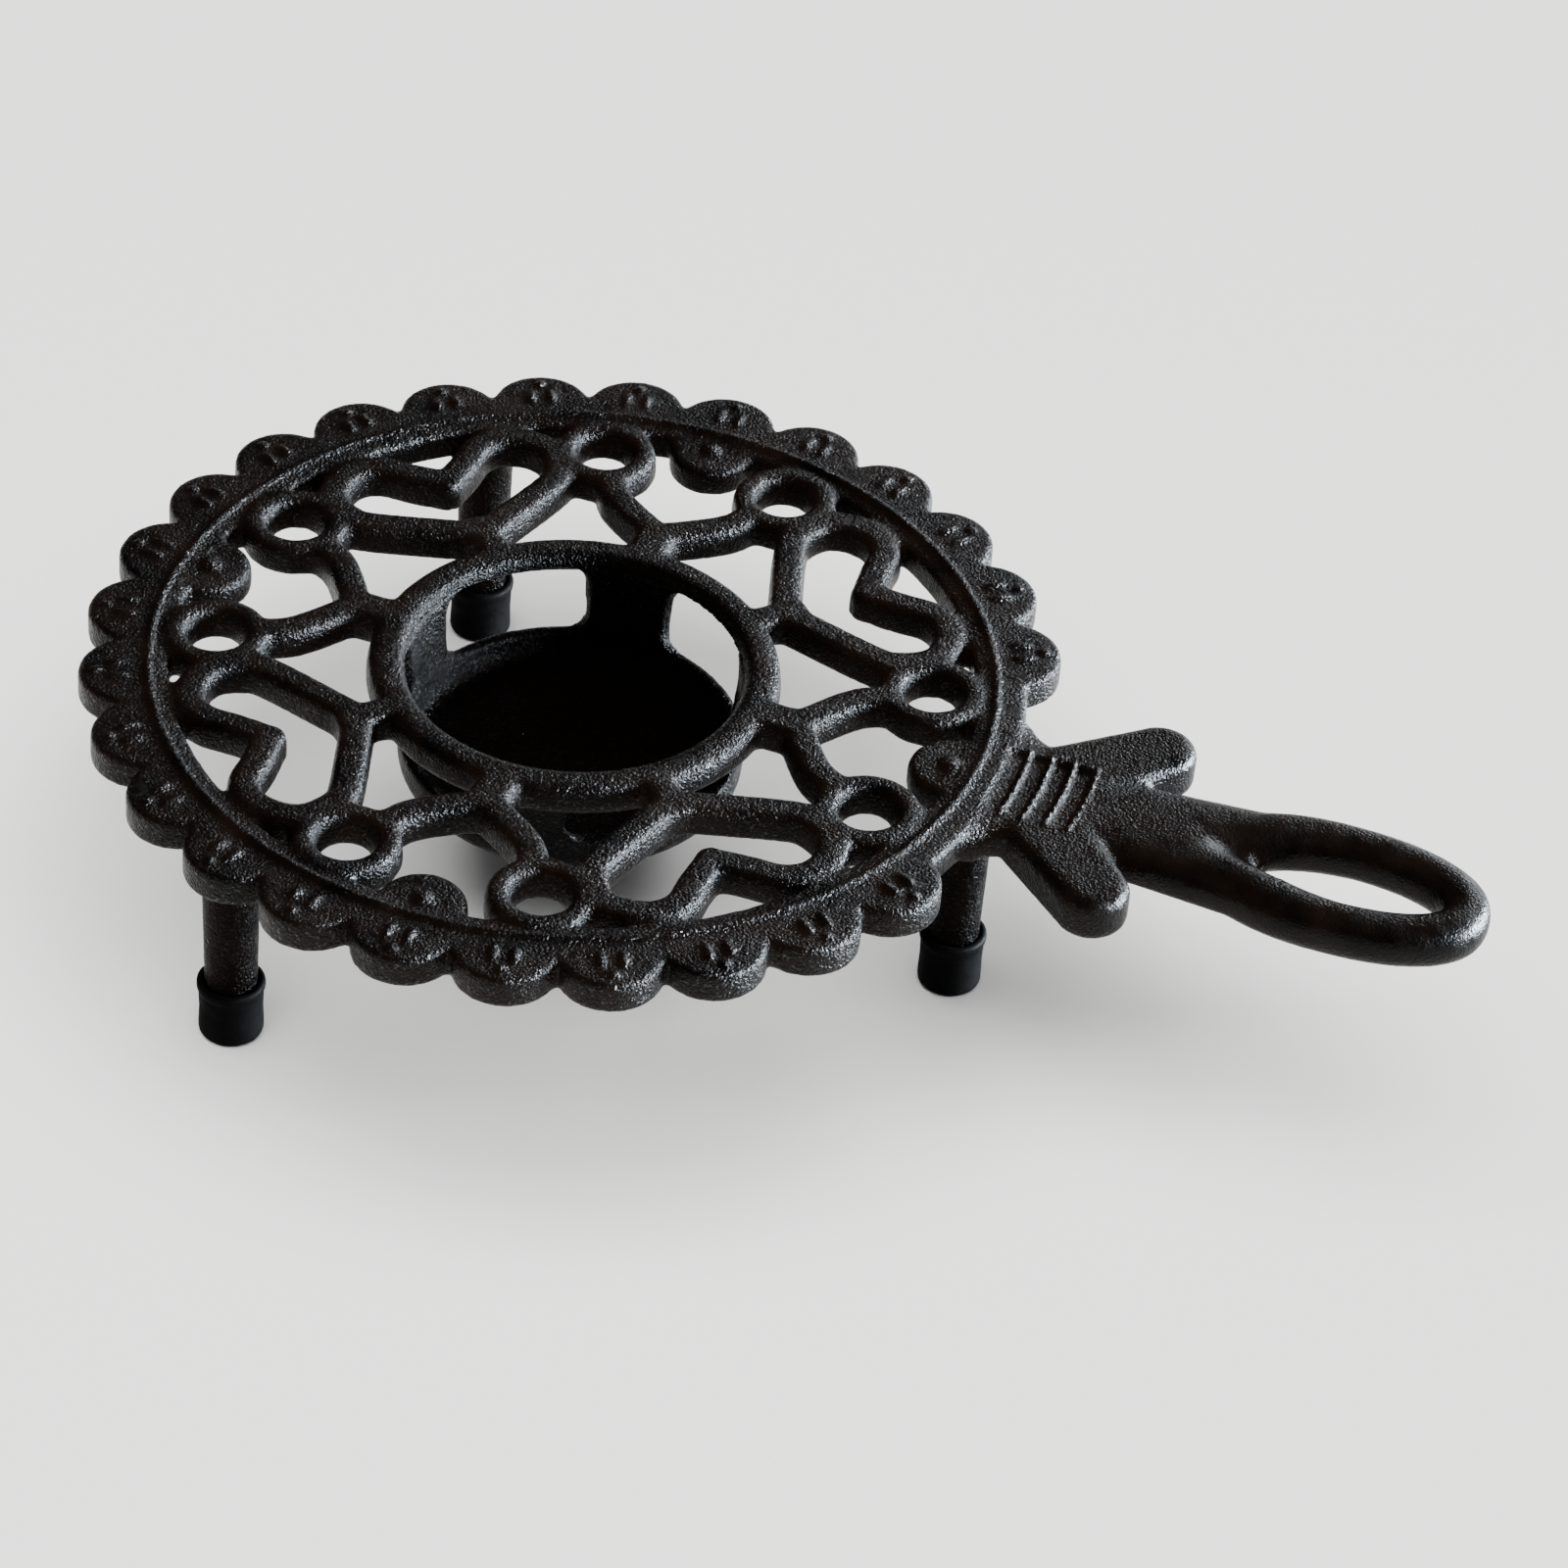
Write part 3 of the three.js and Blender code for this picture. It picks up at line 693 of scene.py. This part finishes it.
@dataclass
class Openwork:
    """The ring round the candle, the forked brackets with scroll rings, and the hearts.

    Attributes:
        ring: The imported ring's box.
        ring_bore: The radius of the ring's bore at its underside.
        ring_lip: How far the bore opens towards the top.
        flange_thickness: The ring's thickness outside the basket's straps.
        strap_wall: The thickness of the straps under it.
        thickness: The thickness of the bars.
        count: How many brackets there are, and how many hearts.
        scroll_angle: How far a scroll ring lies beside its bracket's middle.
        scroll_hole: The radius of a scroll ring's hole at its middle height.
        scroll_taper: How much narrower the hole is at the foot, and wider at the top.
        scroll_outer: The ring's outer radius.
        scroll_radius: The radius that the scroll rings are centred on.
        stem_width: The width of a bracket's stem.
        stem_length: Its length, to the fork.
        arm_width: The width of its arms.
        knee: Where an arm bends, out from the ring's edge and across.
        heart_stroke: The width of a heart's bar at its foot.
        heart_half: Half of a heart's width, to the middle of its bar.
        heart_side: A heart's line as shares of the way out and of its half width.
    """

    ring: Box = field(default_factory=lambda: node_box("candle_ring"))
    ring_bore: float = 24.2
    ring_lip: float = 0.7
    flange_thickness: float = 4.8
    strap_wall: float = 2.3
    thickness: float = 4.6
    count: int = 4
    scroll_angle: float = math.radians(16.2)
    scroll_hole: float = 4.0
    scroll_taper: float = 0.45
    scroll_outer: float = 7.85
    scroll_radius: float = 51.8
    stem_width: float = 6.6
    stem_length: float = 4.0
    arm_width: float = 5.0
    knee: Pair = (9.8, 8.3)
    heart_stroke: float = 5.0
    heart_half: float = 17.8
    heart_side: tuple[Pair, ...] = (
        (0.14, 0.045), (0.4, 0.792), (0.5, 0.944), (0.67, 1), (0.8, 0.876),
        (0.875, 0.651), (0.845, 0.427), (0.735, 0.241), (0.585, -0.045),
    )

    @property
    def ring_outer(self) -> float:
        """The ring's outer radius."""
        return self.ring.size.y / 2

    @property
    def top(self) -> float:
        """The height that ring and bars share."""
        return self.ring.high.z

    def bar_section(self, width: float) -> list[Pair]:
        """A bar's section: widest at the foot, with steep sides, round shoulders and a flat back."""
        half = width / 2
        foot = self.top - self.thickness - SOFTENING
        shares = ((1.0, 0.0), (1.03, 0.2), (1.0, 0.6), (0.92, 0.83), (0.8, 0.95), (0.6, 1.0))
        right = [(half * across, foot + (self.top - foot) * up) for across, up in shares]
        left = [(-across, up) for across, up in reversed(right)]
        return [*right, *left]

    def between(self, out: float) -> float:
        """The radius at a share of the way from the ring to the rim."""
        return self.ring_outer + out * (RIM_INNER - self.ring_outer)

    def heart(self) -> list[Shape]:
        """The blanks of one heart, along +X."""
        blanks = []
        for side in (1, -1):
            line = [(self.between(out), side * across * self.heart_half) for out, across in self.heart_side]
            blanks.append(swept(self.bar_section(self.heart_stroke), smooth_line(line, 5)))
        root = [Vector((self.ring_outer - 2, 0, 0)), Vector((self.ring_outer + 7, 0, 0))]
        blanks.append(swept(self.bar_section(self.heart_stroke), root))
        cleft = disc(self.heart_stroke / 2 - 0.3, self.top - self.thickness - SOFTENING, self.top, 0.8, 24)
        cleft.transform(Matrix.Translation((self.between(self.heart_side[-1][0]) + 0.4, 0, 0)))
        blanks.append(cleft)
        return blanks

    def scroll_ring(self) -> Shape:
        """A ring with a round back and a hole that narrows downwards, centred on the axis."""
        middle = (self.scroll_hole + self.scroll_outer) / 2
        profile = []
        for across, up in self.bar_section(self.scroll_outer - self.scroll_hole):
            draft = 1 - 2 * (self.top - up) / self.thickness
            profile.append((middle + across + (draft * self.scroll_taper if across < 0 else 0), up))
        return spun(profile, 40)

    def bracket(self) -> list[Shape]:
        """The blanks of one bracket, along +X."""
        fork = self.ring_outer + self.stem_length
        scroll = polar(self.scroll_radius, self.scroll_angle)
        blanks = []
        stem = [Vector((self.ring_outer - 2, 0, 0)), Vector((fork + 1.2, 0, 0))]
        blanks.append(swept(self.bar_section(self.stem_width), stem))
        for side in (1, -1):
            centre = Vector((scroll.x, side * scroll.y, 0))
            knee = Vector((self.ring_outer + self.knee[0], side * self.knee[1], 0))
            into = centre - knee
            end = knee + into * (1 - (self.scroll_hole + self.scroll_outer) / 2 / into.length)
            line = smooth_line([(fork - 1, -side * 2.3), (fork, 0), knee.xy, end.xy], 6)
            blanks.append(swept(self.bar_section(self.arm_width), line))
            ring = self.scroll_ring()
            ring.transform(Matrix.Translation(centre))
            blanks.append(ring)
        return blanks

    def candle_ring(self) -> Shape:
        """The ring round the candle, with a round back and a lip that opens upwards."""
        seat = self.top - SEAT_THICKNESS
        foot = self.top - self.flange_thickness - SOFTENING
        inner = self.ring_bore
        lip = inner + self.ring_lip
        outer = self.ring_outer
        return spun([
            (inner, seat), (inner + self.strap_wall, seat), (inner + self.strap_wall + 0.9, foot),
            (outer - 1.2, foot), (outer - 0.2, foot + 0.9), (outer, foot + 1.8),
            (outer - 0.35, self.top - 0.7), (outer - 1.3, self.top - 0.12), (outer - 2.2, self.top),
            (lip + 1.2, self.top), (lip + 0.35, self.top - 0.25), (lip - 0.1, self.top - 0.8),
        ], 120)

    def cast(self, mould: Mould) -> None:
        """Adds the ring, the brackets and the hearts."""
        mould.add(self.candle_ring())
        step = FULL_TURN / self.count
        for blank in self.bracket():
            mould.add(blank, *(turn(i * step) for i in range(self.count)))
        for blank in self.heart():
            mould.add(blank, *(turn((i + 0.5) * step) for i in range(self.count)))


@dataclass
class Handle:
    """The flat handle: ribbed neck, two ears, waist and looped grip.

    Attributes:
        box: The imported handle's box.
        rib_height: How far the ribs stand out.
        thickness: The thickness of ears, waist and grip.
        neck_width: The neck's width.
        neck_thickness: The neck's thickness.
        waist_width: The width just behind the ears.
        grip_width: The grip's width over all.
        grip_length: Its length over all.
        limb: The width of the bar round the slot.
        root_swell: How much wider that bar is where it leaves the waist, as a share.
        fullness: How much squarer than an ellipse the grip is.
        ear_radius: The radius of an ear's tip.
        ear_edge: How far the rounding of its edges reaches.
        ear_spread: How far a tip's middle lies from the handle's axis.
        ear_reach: How far it lies from the plate's axis.
        ear_root: Where the ears grow from, out along the handle and across.
        ribs: Where the ribs lie, from the plate's axis.
        rib_length: Their length.
        panel_depth: How far the panel between them is sunk.
        groove_depth: How deep the groove runs into the slot.
        groove_width: How far it reaches to each side.
        groove_run: How far back from the slot it fades.
        neck_stations: The neck's scale across at places from the plate's axis.
        waist_stations: The waist's, in the same way.
    """

    box: Box = field(default_factory=lambda: node_box("handle"))
    rib_height: float = 0.4
    thickness: float = 7.0
    neck_width: float = 22.2
    neck_thickness: float = 6.0
    waist_width: float = 17.4
    grip_width: float = 24.0
    grip_length: float = 41.4
    limb: float = 7.0
    root_swell: float = 0.36
    fullness: float = 0.9
    ear_radius: float = 5.3
    ear_edge: float = 1.7
    ear_spread: float = 16.4
    ear_reach: float = 83.5
    ear_root: Pair = (73.5, 6.5)
    ribs: tuple[float, ...] = (63.8, 67.2, 70.5, 73.8, 77.2)
    rib_length: float = 13.6
    panel_depth: float = 0.45
    groove_depth: float = 2.6
    groove_width: float = 2.6
    groove_run: float = 5.0
    neck_stations: tuple[Pair, ...] = (
        (60, 1.35), (65, 1.3), (66.5, 1.12), (68.5, 1.02), (72, 1), (76, 0.98), (79, 0.86),
    )
    waist_stations: tuple[Pair, ...] = (
        (72, 0.9), (77, 1), (83, 1), (88, 1.035), (92, 1.075), (96, 1.115), (99, 1.15), (101.5, 1.17),
    )

    @property
    def end(self) -> float:
        """How far the grip's end lies from the plate's axis."""
        return self.box.high.x

    @property
    def top(self) -> float:
        """The height of the handle's top, without the ribs."""
        return self.box.high.z - self.rib_height

    @property
    def bottom(self) -> float:
        """The height of its underside."""
        return self.top - self.thickness

    def bar(self, stations: tuple[Pair, ...], width: float, thickness: float, fullness: float) -> Shape:
        """A straight bar under the handle's top, scaled across as its stations say."""
        line = [Vector((x, 0, self.top - thickness)) for x, _ in stations]
        wide = [(across, 1) for _, across in stations]
        return swept(round_section(width, thickness, fullness, 32), line, wide)

    def grip(self) -> Shape:
        """The bar bent round the slot."""
        along = (self.grip_length - self.limb) / 2
        across = (self.grip_width - self.limb) / 2
        middle = self.end - self.grip_length / 2
        line = []
        wide = []
        for step in range(72):
            angle = step * FULL_TURN / 72
            side = math.sin(angle)
            fuller = math.copysign(abs(side) ** self.fullness, side)
            line.append(Vector((middle + along * math.cos(angle), across * fuller, self.bottom)))
            wide.append((1 + self.root_swell * max(-math.cos(angle), 0), 1))
        return swept(round_section(self.limb, self.thickness, 0.8, 24), line, wide, closed=True)

    def ears(self) -> list[Shape]:
        """The round prongs each side, as rows of soft pads."""
        blanks = []
        for side in (1, -1):
            root = Vector((self.ear_root[0], side * self.ear_root[1], 0))
            tip = Vector((self.ear_reach, side * self.ear_spread, 0))
            for step in range(9):
                share = step / 8
                radius = self.ear_radius + 0.9 * (1 - share)
                pad = disc(radius, self.bottom, self.top, self.ear_edge, 32)
                pad.transform(Matrix.Translation(root.lerp(tip, share)))
                blanks.append(pad)
        return blanks

    def cast(self, mould: Mould) -> None:
        """Adds the neck, the body between ears and slot, the grip and the ears."""
        mould.add(self.bar(self.neck_stations, self.neck_width, self.neck_thickness, 0.45))
        mould.add(self.bar(self.waist_stations, self.waist_width, self.thickness, 0.62))
        mould.add(self.grip())
        for ear in self.ears():
            mould.add(ear)

    def carve(self, shape: Shape) -> None:
        """Scoops the groove that runs into the slot, and sinks the panel between the ribs."""
        start = self.end - self.grip_length + self.limb
        first, last = self.ribs[0], self.ribs[-1]
        half = self.rib_length / 2
        for vert in shape.verts:
            x, y, z = vert.co
            if z < self.bottom + self.thickness / 2 or x < first or abs(y) > half + 1:
                continue
            if start - 12 < x < start + 5:
                fade = -(min(x - start, 0) / self.groove_run) ** 2 - (y / self.groove_width) ** 2
                vert.co.z -= self.groove_depth * math.exp(fade)
            inside = min(x - first, last - x, half - abs(y))
            vert.co.z -= self.panel_depth * min(max(inside / 0.8 + 0.5, 0), 1)

    def detail(self, mould: Mould) -> None:
        """Adds the ribs across the neck, each a little bent."""
        for x in self.ribs:
            for step in range(9):
                share = step / 4 - 1
                middle = Vector((x - 0.4 * share * share, share * self.rib_length / 2, self.top - 0.3))
                mould.add(pill(middle, Vector((0.42, 1.2, self.rib_height + 0.3)), 12))


@dataclass
class Basket:
    """The candle's basket: a dish on straps, with windows between them.

    Attributes:
        dish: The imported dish's box.
        ring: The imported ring's box.
        inner: The dish's inner radius.
        wall: The thickness of the walls.
        flare: How far the walls lean out on the way up.
        floor: The thickness of the floor.
        corner: The rounding at the dish's foot.
        bowl: The rounding inside, between floor and wall.
        strap_places: Where the straps stand round the axis, in degrees.
        strap_width: A strap's width.
        sink: How far the straps' tops run into the ring.
        window_corner: The rounding of a window's corners.
        window_depth: How far its cutting block reaches, in and out.
    """

    dish: Box = field(default_factory=lambda: node_box("candle_dish"))
    ring: Box = field(default_factory=lambda: node_box("candle_ring"))
    inner: float = 23.2
    wall: float = 2.0
    flare: float = 1.0
    floor: float = 2.4
    corner: float = 3.0
    bowl: float = 2.6
    strap_places: tuple[float, ...] = (14.5, 91.5, 175.5, 273.5)
    strap_width: float = 12.8
    sink: float = 0.6
    window_corner: float = 3.0
    window_depth: float = 22.0

    def profile(self) -> list[Pair]:
        """The basket's section, from the axis out along the underside and back inside."""
        outer = self.inner + self.wall
        bottom = self.dish.low.z
        floor = bottom + self.floor
        top = self.ring.high.z - SEAT_THICKNESS + self.sink
        return [
            (0.0, bottom), *rounding(outer, self.corner, bottom), (outer, self.dish.high.z),
            (outer + self.flare, top), (self.inner + self.flare, top), (self.inner, self.dish.high.z),
            *reversed(rounding(self.inner, self.bowl, floor)), (0.0, floor),
        ]

    def window(self, first: float, second: float) -> Shape:
        """The block that cuts the window between the straps at two angles, the right one first."""
        middle_radius = self.inner + (self.wall + self.flare) / 2
        span = second - first - self.strap_width / middle_radius
        width = 2 * middle_radius * math.sin(span / 2)
        low = self.dish.high.z
        high = self.ring.high.z - SEAT_THICKNESS
        shape = bmesh.new()
        place = Matrix.Translation((middle_radius, 0, (low + high) / 2))
        block = Matrix.Diagonal((self.window_depth, width, high - low, 1))
        bmesh.ops.create_cube(shape, size=1, matrix=place @ block)
        rails = [item for item in shape.edges if abs(item.verts[0].co.x - item.verts[1].co.x) > 1]
        bmesh.ops.bevel(
            shape, geom=rails, offset=self.window_corner, segments=5, profile=0.5, affect="EDGES",
            material=-1,
        )
        shape.transform(turn((first + second) / 2))
        return shape

    def cast(self) -> Mould:
        """Spins the cup and cuts its windows."""
        cup = Mould("candle_basket")
        cup.add(spun(self.profile(), 120))
        cutters = Mould("windows")
        places = [math.radians(place) for place in self.strap_places]
        for first, second in zip(places, [*places[1:], places[0] + FULL_TURN]):
            cutters.add(self.window(first, second))
        cutter = as_object("windows", cutters.blanks)
        body = as_object(cup.name, cup.blanks)
        cut = body.modifiers.new("windows", "BOOLEAN")
        cut.operation = "DIFFERENCE"
        cut.solver = "EXACT"
        cut.object = cutter
        cup.blanks = applied(body)
        discard(cutter)
        return cup


@dataclass
class Leg:
    """One tapered leg with a fillet under the rim.

    Attributes:
        box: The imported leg's box.
        top_radius: Its radius under the fillet.
        foot_radius: Its radius at the foot.
        fillet: How far the fillet spreads at the top.
        fillet_length: How far down it starts.
        sink: How far the leg's top runs into the rim.
        chamfer: The chamfer at the foot.
    """

    box: Box
    top_radius: float = 4.15
    foot_radius: float = 3.65
    fillet: float = 2.2
    fillet_length: float = 5.0
    sink: float = 1.0
    chamfer: float = 0.4

    def profile(self) -> list[Pair]:
        """The leg's section, from the axis at its foot up to the axis in the rim."""
        top = self.box.high.z
        foot = self.box.low.z
        taper_top = top - self.fillet_length
        points = [
            (0.0, foot), (self.foot_radius - self.chamfer, foot), (self.foot_radius, foot + self.chamfer),
        ]
        for share in (0, 0.2, 0.4, 0.6, 0.8, 1):
            rise = self.fillet_length * share
            points.append((self.top_radius + self.fillet * share**3, taper_top + rise))
        points += [(self.top_radius + self.fillet, top + self.sink), (0.0, top + self.sink)]
        return points


@dataclass
class FootCap:
    """One push-on rubber cap with a flared brim.

    Attributes:
        box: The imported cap's box.
        wall: The wall's thickness.
        floor: The floor's thickness.
        brim: How far the brim stands out.
        brim_height: The brim's height.
        waist: How far the wall draws in, halfway up.
        edge: The rounding at the foot.
        lift: How far the foot stays above the table, for its grain.
    """

    box: Box
    wall: float = 0.8
    floor: float = 2.0
    brim: float = 0.25
    brim_height: float = 1.2
    waist: float = 0.12
    edge: float = 1.0
    lift: float = 0.03

    def profile(self) -> list[Pair]:
        """The cap's section, from the axis out along the underside and back inside."""
        top = self.box.high.z
        outer = self.box.size.x / 2 - self.brim
        inner = outer - self.wall
        neck = top - self.brim_height
        return [
            (0.0, self.lift), *rounding(outer, self.edge, self.lift),
            (outer - self.waist, (self.edge + neck) / 2), (outer, neck - 0.5),
            (outer + self.brim, neck + 0.1), (outer + self.brim, top - 0.35),
            (outer + self.brim - 0.3, top), (inner + 0.2, top), (inner, top - 0.2),
            (inner, self.floor), (0.0, self.floor),
        ]


@dataclass
class Stand:
    """The whole stand: one casting, given as plate, basket and legs, and its three caps.

    Attributes:
        rim: The outer ring.
        openwork: What lies between rim and candle.
        handle: The handle.
        basket: The candle's basket.
        body_voxel: The grid that the rough casting is fused on.
        detail_voxel: The grid that its details are fused on.
        cap_voxel: The grid that the caps are fused on.
        grain: The unevenness of the sand-cast skin.
        cap_grain: The unevenness of the caps.
        plate_triangles: The most triangles in the plate.
        basket_triangles: The most in the basket.
        leg_triangles: The most in a leg or a cap.
    """

    rim: Rim = field(default_factory=Rim)
    openwork: Openwork = field(default_factory=Openwork)
    handle: Handle = field(default_factory=Handle)
    basket: Basket = field(default_factory=Basket)
    body_voxel: float = 0.5
    detail_voxel: float = 0.33
    cap_voxel: float = 0.25
    grain: Grain = Grain(size=1.1, height=0.07)
    cap_grain: Grain = Grain(size=2.0, height=0.06)
    plate_triangles: int = 196000
    basket_triangles: int = 90000
    leg_triangles: int = 40000

    def plate(self) -> bpy.types.Object:
        """Casts rim, openwork and handle in one finished plate."""
        mould = Mould("plate_casting")
        self.rim.cast(mould)
        self.openwork.cast(mould)
        self.handle.cast(mould)
        mould.fuse(self.body_voxel, 4)
        self.handle.carve(mould.blanks)
        self.rim.detail(mould)
        self.handle.detail(mould)
        mould.fuse(self.detail_voxel, 1)
        return mould.cast(self.grain, self.plate_triangles)

    def build(self) -> None:
        """Casts every piece and dresses it."""
        iron = IRON.material()
        brown_iron = BROWN_IRON.material()
        rubber = RUBBER.material()
        four = range(1, 5)
        dress(
            self.plate(), iron, Slot.IRON, "scalloped_rim", "candle_ring", "handle",
            *(f"scroll_bracket_{i}" for i in four), *(f"heart_{i}" for i in four),
        )
        basket = self.basket.cast()
        basket.fuse(self.body_voxel, 6)
        dress(
            basket.cast(self.grain, self.basket_triangles), iron, Slot.IRON, "candle_dish",
            *(f"basket_strap_{i}" for i in four),
        )
        for i in range(1, 4):
            box = node_box(f"leg_{i}")
            leg = post(f"iron_leg_{i}", box, Leg(box).profile())
            leg.fuse(self.body_voxel, 2)
            dress(leg.cast(self.grain, self.leg_triangles), brown_iron, Slot.IRON, f"leg_{i}")
            box = node_box(f"foot_cap_{i}")
            cap = post(f"rubber_cap_{i}", box, FootCap(box).profile())
            cap.fuse(self.cap_voxel, 1)
            dress(cap.cast(self.cap_grain, self.leg_triangles), rubber, Slot.RUBBER, f"foot_cap_{i}")


@dataclass
class Studio:
    """The floor, the lights and the camera, in metres.

    Attributes:
        camera_place: Where the camera stands.
        camera_turn: Its turn about X, Y and Z, in degrees.
        lens: Its lens in millimetres, on a 36 mm sensor.
        floor_size: The floor's side.
        sky: How bright the plain white surroundings are.
    """

    camera_place: Triple = (0.18277, -0.60662, 0.54353)
    camera_turn: Triple = (50.750, -3.509, 19.619)
    lens: float = 130.36
    floor_size: float = 12.0
    sky: float = 0.12

    def camera(self) -> None:
        """Sets the camera at the photograph's angle."""
        data = bpy.data.cameras.new("camera")
        data.lens = self.lens
        data.sensor_width = 36
        data.clip_start = 0.01
        data.clip_end = 100
        made = bpy.data.objects.new("camera", data)
        made.location = self.camera_place
        made.rotation_euler = Euler([math.radians(angle) for angle in self.camera_turn], "XYZ")
        bpy.context.scene.collection.objects.link(made)
        bpy.context.scene.camera = made

    def floor(self) -> None:
        """Lays a plain pale floor."""
        shape = bmesh.new()
        bmesh.ops.create_grid(shape, x_segments=1, y_segments=1, size=self.floor_size / 2)
        made = as_object("floor", shape)
        material = bpy.data.materials.new("pale_floor")
        material.use_nodes = True
        shader = material.node_tree.nodes["Principled BSDF"]
        shader.inputs["Base Color"].default_value = (0.9, 0.9, 0.9, 1)
        shader.inputs["Roughness"].default_value = 0.9
        shader.inputs["Specular IOR Level"].default_value = 0
        made.data.materials.append(material)

    def softbox(
        self, name: str, place: Triple, size: Pair, power: float, colour: Triple
    ) -> bpy.types.Object:
        """Hangs a soft light that faces the plate.

        Args:
            name: The light's name.
            place: Where it hangs.
            size: Its width and height.
            power: Its power in watts.
            colour: Its colour.

        Returns:
            The light.
        """
        data = bpy.data.lights.new(name, "AREA")
        data.shape = "RECTANGLE"
        data.size, data.size_y = size
        data.energy = power
        data.color = colour
        made = bpy.data.objects.new(name, data)
        made.location = place
        made.rotation_euler = (-Vector(place)).to_track_quat("-Z", "Y").to_euler()
        bpy.context.scene.collection.objects.link(made)
        return made

    def lights(self) -> None:
        """Hangs a cool low light at the right, a weak one behind, and a large one overhead."""
        world = bpy.data.worlds.new("studio")
        world.use_nodes = True
        backdrop = world.node_tree.nodes["Background"]
        backdrop.inputs["Color"].default_value = (1, 1, 1, 1)
        backdrop.inputs["Strength"].default_value = self.sky
        bpy.context.scene.world = world
        key = self.softbox("key", (1.15, 0.52, 0.18), (1.0, 0.34), 820, (0.80, 0.89, 1.0))
        back = self.softbox("back", (0.35, 1.5, 0.4), (0.6, 0.4), 26, (0.9, 0.95, 1.0))
        key.visible_diffuse = False
        back.visible_diffuse = False
        over = self.softbox("over", (0.1, -0.2, 1.8), (2.4, 2.4), 130, (1.0, 0.99, 0.97))
        over.visible_glossy = False

    def build(self) -> None:
        """Sets up camera, floor and lights."""
        self.camera()
        self.floor()
        self.lights()


def main() -> None:
    """Builds the studio and the stand."""
    logging.basicConfig(level=logging.INFO, format="%(name)s: %(message)s")
    Studio().build()
    Stand().build()


if __name__ == "__main__":
    main()
